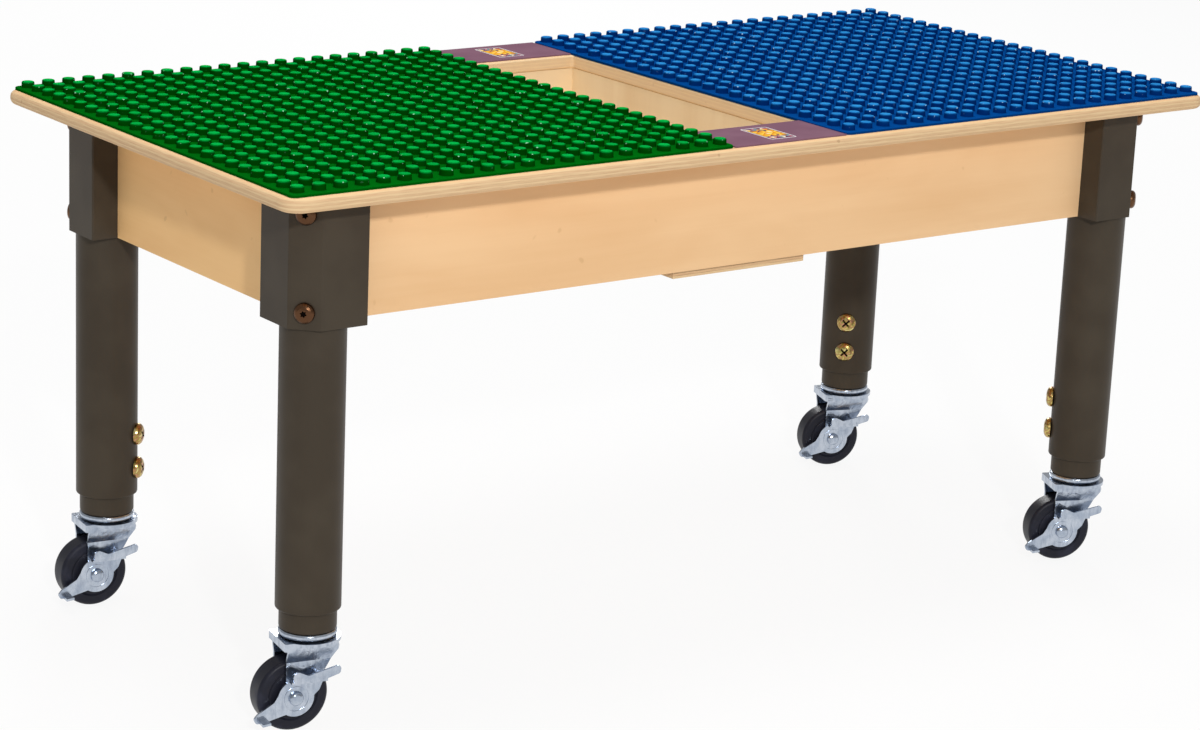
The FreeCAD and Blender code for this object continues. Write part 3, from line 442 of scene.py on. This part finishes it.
# %% Zinc finishes
def zinc_plate(name):
    finish = Finish(name)
    cloud = finish.noise(90.0, detail=4.0, rough=0.6)
    streak = finish.noise((420.0, 420.0, 90.0), detail=3.0)
    dent = finish.noise(110.0, detail=2.0, twist=0.8)
    colour = finish.blend(cloud.band(0.35, 0.7), paint(192, 200, 212), paint(166, 177, 193))
    # Painted reflection: the streaks darken the colour, standing in for dark things the zinc
    # mirrors; the same streaks also roughen and ripple the surface.
    colour = finish.blend(streak.band(0.42, 0.78) * 0.38, colour, paint(116, 128, 148))
    return finish.surface(
        Base_Color=colour, Metallic=1.0, Roughness=0.14 + cloud * 0.10 + streak * 0.08,
        Normal=finish.bump(dent + streak * 0.35, 0.7 * MM, 0.6))


def yellow_zinc_plate(name):
    finish = Finish(name)
    film = finish.noise(170.0, detail=1.0, twist=1.5)
    colour = finish.node("ShaderNodeValToRGB", {"stops": [
        (0.34, paint(206, 184, 112)), (0.44, paint(150, 128, 62)), (0.52, paint(196, 140, 112)),
        (0.60, paint(146, 142, 70)), (0.70, paint(222, 204, 140))]}, {0: film})
    return finish.surface(Base_Color=colour, Metallic=1.0, Roughness=0.16 + film * 0.12,
                          Normal=finish.bump(finish.noise(500.0), 0.2 * MM, 0.5))


zinc = zinc_plate("bright_zinc")
yellow_zinc = yellow_zinc_plate("yellow_zinc")
print("zinc finishes:", zinc.name, yellow_zinc.name)

# %% [markdown]
# ## Wheels, blocks and the purple film
# The wheels are hard black rubber with a satin sheen. The corner blocks are plain pine. The strips
# at the ends of the opening are a purple film, nearly flat, with a slight satin grain.

# %% Remaining finishes
def wheel_rubber(name):
    finish = Finish(name)
    dust = finish.noise(70.0, detail=4.0).band(0.5, 0.75)
    fine = finish.noise(900.0, detail=2.0)
    return finish.surface(
        Base_Color=finish.blend(dust * 0.5, paint(32, 33, 43), paint(56, 58, 74)),
        Roughness=0.36 + dust * 0.14 + fine * 0.05, Specular_IOR_Level=0.18,
        Normal=finish.bump(fine, 0.06 * MM, 0.5))


def pine(name):
    finish = Finish(name)
    rings = finish.noise((220.0, 220.0, 7.0), detail=3.0, twist=0.4)
    fine = finish.noise((1200.0, 1200.0, 30.0), detail=2.0)
    colour = finish.blend(rings.band(0.4, 0.65), paint(226, 190, 138), paint(196, 146, 92))
    return finish.surface(Base_Color=colour, Roughness=0.6 + fine * 0.1,
                          Normal=finish.bump(rings + fine * 0.5, 0.2 * MM, 0.5))


def film(name, colour, shade):
    finish = Finish(name)
    fine = finish.noise(1600.0, detail=2.0)
    cloud = finish.noise(35.0, detail=3.0)
    return finish.surface(Base_Color=finish.blend(cloud.band(0.3, 0.7), colour, shade),
                          Roughness=0.5 + fine * 0.1, Specular_IOR_Level=0.0,
                          Normal=finish.bump(fine, 0.04 * MM, 0.4))


black_rubber = wheel_rubber("wheel_rubber")
pine_block = pine("pine_block")
purple = film("purple_film", paint(122, 88, 104), paint(130, 96, 112))
print("finishes:", len(bpy.data.materials))

# %% [markdown]
# ## Dress the frame
# The construction's own pieces keep their shape and get a finish. Sharp pressed or sawn edges
# never exist on real things, so a bevel modifier breaks each edge by a few tenths of a millimetre.

# %% Assign finishes
LEGS = ["front_left", "back_left", "front_right", "back_right"]
BEVEL_SEGMENTS = 2
BEVEL_ANGLE = math.radians(40)
BOARD_BEVEL = 0.7 * MM
SMALL_BEVEL = 0.2 * MM
BOARDS = {"tabletop": top_wood, "apron_front": front_wood, "apron_back": front_wood,
          "apron_left": side_wood, "apron_right": side_wood, "bin_wall_left": wall_wood,
          "bin_wall_right": wall_wood, "bin_floor": floor_wood}
# Each piece of a leg, with its finish and its bevel in millimetres.
LEG_PIECES = {"corner_bracket": (bronze_powder, 0.4), "corner_block": (pine_block, 0.8),
              "outer_tube": (bronze_powder, 0.0), "inner_tube": (bronze_powder, 0.0),
              "stem_socket": (black_plastic, 0.0), "caster_stem": (zinc, 0.3),
              "swivel_washer": (zinc, 0.0), "fork": (zinc, 0.6), "wheel": (black_rubber, 0.0),
              "axle": (zinc, 0.2), "brake_lever": (zinc, 0.5)}


def dress(node, material, bevel=0.0):
    """Gives a node its finish and, where bevel isn't 0, breaks its edges by that width."""
    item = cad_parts[node]
    item.data.materials.clear()
    item.data.materials.append(material)
    if bevel:
        modifier = item.modifiers.new("edge_break", "BEVEL")
        modifier.width = bevel
        modifier.segments = BEVEL_SEGMENTS
        modifier.limit_method = "ANGLE"
        modifier.angle_limit = BEVEL_ANGLE


for board, wood in BOARDS.items():
    dress(board, wood, 0.0 if board == "tabletop" else BOARD_BEVEL)
for leg in LEGS:
    for piece, (material, bevel) in LEG_PIECES.items():
        dress(piece + "_" + leg, material, bevel * MM)
dress("corner_screws", bronze_screw, SMALL_BEVEL)
dress("height_screws", yellow_zinc, SMALL_BEVEL)
dress("bin_screws", yellow_zinc)
dress("strip_front", purple, SMALL_BEVEL)
dress("strip_back", purple, SMALL_BEVEL)
dress("plate_green", green_plastic)
dress("plate_blue", blue_plastic)
print("dressed", len(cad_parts), "nodes")

# %% [markdown]
# ## Outlines and rings
# The plates and the labels share one shape: a rectangle with round corners, drawn smaller and
# smaller as rings that are joined into a skin. `rounded_ring` gives the points of one ring, and
# `skin` joins rings that have the same number of points.

# %% Ring helpers
CORNER_STEPS = 6
LEAST_CORNER = 0.05 * MM


def arc(across, up, radius, start, end, steps):
    """Points along an arc; the angles are in degrees."""
    angles = np.radians(np.linspace(start, end, steps))
    return [(across + radius * math.cos(angle), up + radius * math.sin(angle)) for angle in angles]


def rounded_ring(low, high, corner, inset, height):
    """A level ring inside the rectangle from low to high, drawn in by an inset."""
    radius = max(corner - inset, LEAST_CORNER)
    left, right = low[0] + inset + radius, high[0] - inset - radius
    near, far = low[1] + inset + radius, high[1] - inset - radius
    points = []
    for quarter, (x, y) in enumerate([(right, near), (right, far), (left, far), (left, near)]):
        start = 90 * quarter - 90
        points += arc(x, y, radius, start, start + 90, CORNER_STEPS)
    return [(x, y, height) for x, y in points]


def skin(rings):
    """Four-sided faces between rings that follow one another."""
    count = len(rings[0])
    faces = []
    for level in range(len(rings) - 1):
        start = level * count
        for index in range(count):
            after = (index + 1) % count
            faces.append((start + index, start + after,
                          start + count + after, start + count + index))
    return faces


def add_piece(name, points, faces, materials, smooth=True):
    """A new piece that rides the table."""
    mesh = bpy.data.meshes.new(name)
    mesh.from_pydata(points, [], faces)
    for material in materials:
        mesh.materials.append(material)
    mesh.polygons.foreach_set("use_smooth", [smooth] * len(mesh.polygons))
    mesh.update()
    piece = bpy.data.objects.new(name, mesh)
    bpy.context.scene.collection.objects.link(piece)
    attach(piece, "table")
    return piece


print("a ring has", len(rounded_ring((0, 0), (1, 1), 0.1, 0, 0)), "points")

# %% [markdown]
# ## The shape of a stud
# On the real plate every stud flows out of the sheet with a small foot radius, leans in by a hair
# so that it leaves the mould, and has a rounded top edge round a faintly domed face. The profile
# of one stud is turned about its axis. The sheet's rim is rounded too.

# %% Stud and sheet
STUD_PITCH = 16 * MM
STUD_RADIUS = 4.7 * MM
STUD_HEIGHT = 4.5 * MM
STUD_FOOT = 0.5 * MM
STUD_LEAN = 0.12 * MM
STUD_EDGE = 1.0 * MM
STUD_DOME = 0.16 * MM
STUD_SIDES = 20
# The round edge ends short of level, at EDGE_END degrees. The dome goes on from it in steps: a
# share of the top's radius, with the share of the dome's height that is still missing there.
EDGE_END = 84
DOME_STEPS = ((0.45, 0.3), (0.15, 0.0))
SHEET_CORNER = 5.0 * MM
SHEET_RIM = 0.7 * MM


def stud_profile():
    """Radius and height of one stud's skin, from the sheet up to its domed face."""
    top = STUD_RADIUS - STUD_LEAN
    shoulder = STUD_HEIGHT - STUD_DOME - STUD_EDGE
    points = arc(STUD_RADIUS + STUD_FOOT, STUD_FOOT, STUD_FOOT, 270, 180, 3)
    points += arc(top - STUD_EDGE, shoulder, STUD_EDGE, 0, EDGE_END, 5)
    return points + [(share * top, STUD_HEIGHT - missing * STUD_DOME)
                     for share, missing in DOME_STEPS]


def stud_rings():
    turns = np.radians(np.arange(STUD_SIDES) * 360 / STUD_SIDES)
    return [[(radius * math.cos(turn), radius * math.sin(turn), height) for turn in turns]
            for radius, height in stud_profile()]


def sheet_rings(low, high):
    """The sheet's skin, from the tabletop up round its rim and a little way in."""
    inner = SHEET_THICK - SHEET_RIM
    rings = [rounded_ring(low, high, SHEET_CORNER, 0, low.z)]
    rings += [rounded_ring(low, high, SHEET_CORNER, SHEET_RIM - across, low.z + up)
              for across, up in arc(0, inner, SHEET_RIM, 0, 90, 5)]
    return rings + [rounded_ring(low, high, SHEET_CORNER, 2 * SHEET_RIM, low.z + SHEET_THICK)]


print("a stud has", len(stud_rings()), "rings of", STUD_SIDES, "points")

# %% [markdown]
# ## Stud plates
# The frame's studs are plain drums, so both plates are made again here: numpy copies the points of
# the one stud to every place in the grid, on top of the sheet's own skin. The new plates take the
# place of the frame's, and keep their boxes and their number of studs.

# %% Stud plates
def stud_plate(name, node, material):
    """Makes one plate again and gives its numbers of studs along both sides."""
    low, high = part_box(node)
    rings = sheet_rings(low, high)
    points = [np.array([point for ring in rings for point in ring])]
    faces = skin(rings)
    count = len(rings[0])
    faces.append(tuple(range(count))[::-1])
    faces.append(tuple((len(rings) - 1) * count + index for index in range(count)))

    rings = stud_rings()
    stud = np.array([point for ring in rings for point in ring])
    dome = tuple((len(rings) - 1) * STUD_SIDES + index for index in range(STUD_SIDES))
    pattern = skin(rings) + [dome]
    columns = round((high.x - low.x) / STUD_PITCH)
    lines = round((high.y - low.y) / STUD_PITCH)
    start = len(points[0])
    for column in range(columns):
        for line in range(lines):
            middle = (low.x + (column + 0.5) * STUD_PITCH, low.y + (line + 0.5) * STUD_PITCH,
                      low.z + SHEET_THICK)
            points.append(stud + middle)
            faces += [tuple(start + index for index in face) for face in pattern]
            start += len(stud)
    piece = add_piece(name, np.concatenate(points).tolist(), faces, [material])
    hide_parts(node)
    return columns, lines


print("green studs:",
      stud_plate("green_stud_plate", "plate_green", green_plastic))
print("blue studs:", stud_plate("blue_stud_plate", "plate_blue", blue_plastic))

# %% [markdown]
# ## What is printed on the labels
# A small printed label lies on each purple strip: a thin white line round a golden patchwork, with
# small bright patches near its ends. The patchwork here is a plain quilt of triangles. In the
# quilt's text each pair of letters is one square, cut along a diagonal into two inks.

# %% Label print
QUILT = ["vcvpvtvcvp", "pvcvpvcvtv", "yovyoyyvoy", "oyyooyyooy", "yooycyoyyo", "oyyooyycyo",
         "yovooyyvoy", "vyvtvovyvo", "cvpvtvcvpv"]
INKS = {"w": film("label_white", paint(232, 226, 226), paint(222, 214, 216)),
        "v": film("label_violet", paint(104, 68, 92), paint(112, 76, 100)),
        "o": film("label_orange", paint(226, 148, 44), paint(214, 136, 36)),
        "y": film("label_yellow", paint(240, 200, 84), paint(230, 188, 70)),
        "t": film("label_teal", paint(96, 160, 164), paint(84, 148, 154)),
        "p": film("label_pink", paint(204, 116, 124), paint(194, 106, 116)),
        "c": film("label_cream", paint(242, 226, 190), paint(232, 214, 178))}


def label_patches(low, high, height):
    """Two triangles for each square of the quilt, with the letters of their inks."""
    columns = len(QUILT[0]) // 2
    wide, deep = (high[0] - low[0]) / columns, (high[1] - low[1]) / len(QUILT)
    points, faces, inks = [], [], []
    for line, letters in enumerate(QUILT):
        for column in range(columns):
            left, near, first = low[0] + column * wide, low[1] + line * deep, len(points)
            points += [(left, near, height), (left + wide, near, height),
                       (left + wide, near + deep, height), (left, near + deep, height)]
            if (line + column) % 2:
                faces += [(first, first + 1, first + 2), (first, first + 2, first + 3)]
            else:
                faces += [(first, first + 1, first + 3), (first + 1, first + 2, first + 3)]
            inks += letters[2 * column:2 * column + 2]
    return points, faces, inks


print("the quilt has", sum(map(len, QUILT)), "patches in", len(INKS), "inks")

# %% [markdown]
# ## Labels
# Each label is a stack of films a few hundredths of a millimetre apart, so the print is crisp from
# any distance: the white line highest, then the patches, then the violet ground.

# %% Labels
LABEL_WIDE = 23 * MM
LABEL_DEEP = 36 * MM
LABEL_CORNER = 1.8 * MM
LABEL_LINE = 0.9 * MM
LABEL_MARGIN = 1.9 * MM
FILM = 0.06 * MM
LINE_LIFT = 2 * FILM
PATCH_LIFT = 1.5 * FILM


def add_label(name, strip):
    """Lays a label on the middle of a strip and gives its number of faces."""
    strip_low, strip_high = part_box(strip)
    middle = (strip_low + strip_high) / 2
    floor, crest = strip_high.z, strip_high.z + LINE_LIFT
    low = (middle.x - LABEL_WIDE / 2, middle.y - LABEL_DEEP / 2)
    high = (middle.x + LABEL_WIDE / 2, middle.y + LABEL_DEEP / 2)
    rings = [rounded_ring(low, high, LABEL_CORNER, inset, height) for inset, height in
             ((0, floor), (0, crest), (LABEL_LINE, crest), (LABEL_LINE, floor + FILM))]
    points = [point for ring in rings for point in ring]
    faces = skin(rings)
    inks = ["w"] * len(faces)
    count = len(rings[0])
    faces.append(tuple(3 * count + index for index in range(count)))
    inks.append("v")
    patch_low = (low[0] + LABEL_MARGIN, low[1] + LABEL_MARGIN)
    patch_high = (high[0] - LABEL_MARGIN, high[1] - LABEL_MARGIN)
    more_points, more_faces, more_inks = label_patches(patch_low, patch_high, floor + PATCH_LIFT)
    faces += [tuple(len(points) + index for index in face) for face in more_faces]
    piece = add_piece(name, points + more_points, faces, list(INKS.values()), smooth=False)
    order = list(INKS)
    piece.data.polygons.foreach_set("material_index",
                                    [order.index(ink) for ink in inks + more_inks])
    return len(faces)


print("label faces:", add_label("label_front", "strip_front"),
      add_label("label_back", "strip_back"))

# %% [markdown]
# ## Dark sockets
# The bottom of a screw's socket lies in shade and reads as black. That shade is painted: a thin
# dark film, a painted shade, lies just above the bottom of each star and cross. Every screw points
# at the middle of its leg, so two directions place all of them.

# %% Dark sockets
LEG_AT = (353.25 * MM, 141.1 * MM)
SIDES = [(-1, -1), (-1, 1), (1, -1), (1, 1)]
# A seat is a screw's distance from its leg's middle, outwards, and a lift is how far the film
# lies above the seat.
STAR_SEAT, STAR_LIFT = 24.61 * MM, 1.7 * MM
STAR_TIP, STAR_VALLEY, STAR_POINTS = 2.45 * MM, 1.5 * MM, 6
STAR_HEIGHTS = (292 * MM, 357 * MM)
CROSS_SEAT, CROSS_LIFT = -22.225 * MM, 2.5 * MM
CROSS_ARM, CROSS_HALF = 3.9 * MM, 0.75 * MM
CROSS_HEIGHTS = (104.1 * MM, 129.5 * MM)
# Painted shade: a near-black film at the bottom of each socket.
painted_socket_shade = film("painted_socket_shade", paint(14, 11, 10), paint(24, 19, 16))


def star_outline():
    """A star with blunt points, a little smaller than the corner screw's socket."""
    outline = []
    for step in range(2 * STAR_POINTS):
        radius = STAR_VALLEY if step % 2 else STAR_TIP
        angle = math.pi * step / STAR_POINTS
        outline.append((radius * math.cos(angle), radius * math.sin(angle)))
    return outline


def cross_outline():
    """A cross a little smaller than the height screw's recess."""
    quarter = [(CROSS_ARM, -CROSS_HALF), (CROSS_ARM, CROSS_HALF), (CROSS_HALF, CROSS_HALF)]
    turns = [(1, 0), (0, 1), (-1, 0), (0, -1)]
    return [(x * c - y * s, x * s + y * c) for c, s in turns for x, y in quarter]


def add_sockets(name, outline, seat, lift, heights):
    """One dark film, a painted shade, for each screw, at these heights on every leg."""
    points, faces = [], []
    for side_x, side_y in SIDES:
        outward = Vector((side_x, side_y, 0)).normalized()
        facing = outward if seat > 0 else -outward
        turn = Vector((0, 0, 1)).rotation_difference(facing)
        for height in heights:
            foot = Vector((side_x * LEG_AT[0], side_y * LEG_AT[1], height))
            middle = foot + outward * seat + facing * lift
            start = len(points)
            points += [tuple(middle + turn @ Vector((across, up, 0))) for across, up in outline]
            faces.append(tuple(range(start, start + len(outline))))
    piece = add_piece(name, points, faces, [painted_socket_shade], smooth=False)
    return len(faces)


print("stars:", add_sockets("socket_stars", star_outline(), STAR_SEAT, STAR_LIFT, STAR_HEIGHTS))
print("crosses:", add_sockets("socket_crosses", cross_outline(), CROSS_SEAT, CROSS_LIFT,
                              CROSS_HEIGHTS))

# %% [markdown]
# ## Floor
# A white sweep under the table, seen by the camera as nearly white but still holding a soft
# shadow. The zinc mirrors it in the same way. Longer legs still stand on it, because it goes down
# with one of them.

# %% Floor
FLOOR_HALF = 9.0
FLOOR_GLOW = 0.90
FLOOR_TONES = (0.86, 0.86, 0.86, 1.0), (0.84, 0.84, 0.84, 1.0)
WHITE = (1.0, 1.0, 1.0, 1.0)


def floor_finish():
    """A plain floor that glows towards the camera and in mirrors, but lights nothing by it."""
    finish = Finish("studio_floor")
    grain = finish.noise(3.0, detail=2.0)
    finish.surface(Base_Color=finish.blend(grain, *FLOOR_TONES), Roughness=0.9,
                   Specular_IOR_Level=0.1)
    glow = finish.node("ShaderNodeEmission", {}, {"Color": WHITE, "Strength": 1.0})
    seen, mirrored, shone = (finish.node("ShaderNodeLightPath", out="Is " + ray + " Ray")
                             for ray in ("Camera", "Glossy", "Transmission"))
    share = seen.maths("MAXIMUM", mirrored).maths("MAXIMUM", shone) * FLOOR_GLOW
    plain = Wire(finish, finish.shader.outputs[0])
    shown = finish.node("ShaderNodeMixShader", {}, {0: share, 1: plain, 2: glow})
    finish.tree.links.new(shown.socket, finish.output.inputs["Surface"])
    return finish.material


def add_floor():
    mesh = bpy.data.meshes.new("studio_floor")
    corners = [(x * FLOOR_HALF, y * FLOOR_HALF, 0)
               for x, y in ((-1, -1), (1, -1), (1, 1), (-1, 1))]
    mesh.from_pydata(corners, [], [(0, 1, 2, 3)])
    mesh.materials.append(floor_finish())
    floor = bpy.data.objects.new("studio_floor", mesh)
    bpy.context.scene.collection.objects.link(floor)
    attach(floor, "sliding_leg_front_left")
    return floor


print("floor of", round(add_floor().dimensions.x), "metres")

# %% [markdown]
# ## Light
# A fairly small lamp in front on the left throws the tabletop's thin shadow on the aprons, a large
# one above fills the bin, and a weak one behind draws the far edges out of the floor. The white
# room does the rest.

# %% Lamps
ROOM_LIGHT = 0.42
LAMP_AIM = Vector((0, 0, 0.3))
# Each lamp's place and side in metres, and its power in watts.
LAMPS = {"front_lamp": ((-1.4, -2.95, 1.68), 0.16, 50), "top_lamp": ((-0.2, 0.1, 2.6), 1.2, 30),
         "back_lamp": ((1.6, 2.6, 1.4), 0.8, 22)}


def add_world():
    world = bpy.data.worlds.new("studio_world")
    world.use_nodes = True
    sky = world.node_tree.nodes["Background"]
    sky.inputs["Color"].default_value = WHITE
    sky.inputs["Strength"].default_value = ROOM_LIGHT
    bpy.context.scene.world = world


def add_lamp(name, place, size, power):
    data = bpy.data.lights.new(name, "AREA")
    data.shape = "SQUARE"
    data.size = size
    data.energy = power
    lamp = bpy.data.objects.new(name, data)
    lamp.location = place
    aim = LAMP_AIM - Vector(place)
    lamp.rotation_euler = aim.to_track_quat("-Z", "Y").to_euler()
    bpy.context.scene.collection.objects.link(lamp)


add_world()
for name, (place, size, power) in LAMPS.items():
    add_lamp(name, place, size, power)
bpy.context.scene.view_settings.view_transform = "Standard"
print("lamps:", len(LAMPS))

# %% [markdown]
